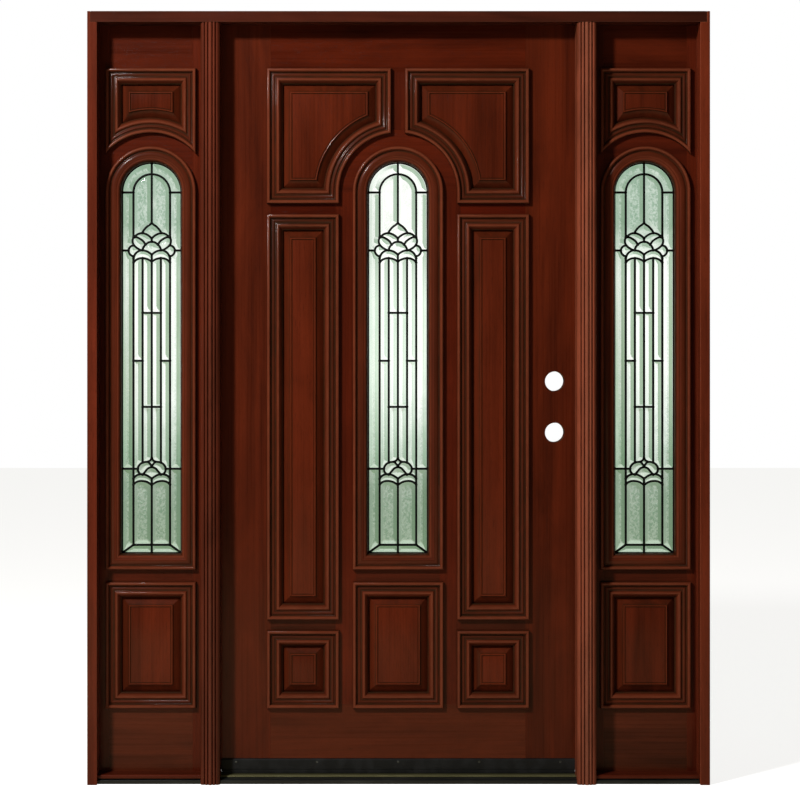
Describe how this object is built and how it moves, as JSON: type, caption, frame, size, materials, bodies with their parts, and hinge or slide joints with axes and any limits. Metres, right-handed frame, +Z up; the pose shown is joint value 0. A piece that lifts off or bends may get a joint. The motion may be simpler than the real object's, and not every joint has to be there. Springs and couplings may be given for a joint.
{
  "type": "entry door unit with sidelights",
  "caption": "Pre-hung panelled wooden entry door with an arched leaded light and matching sidelights, in its frame, hinged on the left and opening inwards.",
  "frame": {"origin": "middle of the sill's underside, half way through the frame's depth", "axes": "+X to the right seen from outside, +Y into the house, +Z up"},
  "size_m": [1.676, 0.1305, 2.083],
  "materials": {
    "mahogany": "satin varnish over red-brown stain",
    "mahogany_panel": "satin varnish over red-brown stain, plain grain",
    "mahogany_moulding": "satin varnish, dark glaze in the hollows",
    "mahogany_frame": "satin varnish over red-brown stain",
    "leaded_glass": "pale green textured and bevelled glass in dark cames",
    "dark_bronze": "dark bronze anodised",
    "threshold_brass": "dull brass",
    "sweep_vinyl": "black vinyl",
    "seal_rubber": "dark grey-green",
    "hinge_bronze": "oil-rubbed bronze"
  },
  "bodies": {
    "frame": {"frame_hinge_leaf_1": "hinge_bronze", "frame_hinge_leaf_2": "hinge_bronze", "frame_hinge_leaf_3": "hinge_bronze", "head_jamb": "mahogany_frame", "left_mullion_post": "mahogany_frame", "left_mullion_reeded_face": "mahogany_frame", "left_side_jamb": "mahogany_frame", "left_sidelight_bottom_moulding": "mahogany_moulding", "left_sidelight_bottom_panel": "mahogany_panel", "left_sidelight_frame": "mahogany", "left_sidelight_glass_moulding": "mahogany_moulding", "left_sidelight_leaded_glass": "leaded_glass", "left_sidelight_top_moulding": "mahogany_moulding", "left_sidelight_top_panel": "mahogany_panel", "right_mullion_post": "mahogany_frame", "right_mullion_reeded_face": "mahogany_frame", "right_side_jamb": "mahogany_frame", "right_sidelight_bottom_moulding": "mahogany_moulding", "right_sidelight_bottom_panel": "mahogany_panel", "right_sidelight_frame": "mahogany", "right_sidelight_glass_moulding": "mahogany_moulding", "right_sidelight_leaded_glass": "leaded_glass", "right_sidelight_top_moulding": "mahogany_moulding", "right_sidelight_top_panel": "mahogany_panel", "sill": "dark_bronze", "threshold_cap": "threshold_brass", "weatherstrip": "seal_rubber"},
    "door_leaf": {"arch_rail": "mahogany", "bottom_rail": "mahogany", "centre_bottom_moulding": "mahogany_moulding", "centre_bottom_panel": "mahogany_panel", "centre_lower_cross_rail": "mahogany", "door_glass_moulding": "mahogany_moulding", "door_hinge_leaf_1": "hinge_bronze", "door_hinge_leaf_2": "hinge_bronze", "door_hinge_leaf_3": "hinge_bronze", "door_leaded_glass": "leaded_glass", "door_sweep": "sweep_vinyl", "hinge_stile": "mahogany", "left_lower_cross_rail": "mahogany", "left_muntin": "mahogany", "left_small_moulding": "mahogany_moulding", "left_small_panel": "mahogany_panel", "left_tall_moulding": "mahogany_moulding", "left_tall_panel": "mahogany_panel", "left_upper_cross_rail": "mahogany", "left_upper_moulding": "mahogany_moulding", "left_upper_panel": "mahogany_panel", "lock_stile": "mahogany", "right_lower_cross_rail": "mahogany", "right_muntin": "mahogany", "right_small_moulding": "mahogany_moulding", "right_small_panel": "mahogany_panel", "right_tall_moulding": "mahogany_moulding", "right_tall_panel": "mahogany_panel", "right_upper_cross_rail": "mahogany", "right_upper_moulding": "mahogany_moulding", "right_upper_panel": "mahogany_panel", "top_muntin": "mahogany", "top_rail": "mahogany"}
  },
  "joints": [
    {"name": "door_hinge", "type": "hinge", "parent": "frame", "child": "door_leaf", "pos_m": [-0.4888, 0.0645, 0], "axis": [0, 0, 1], "range_deg": [0, 110]}
  ]
}
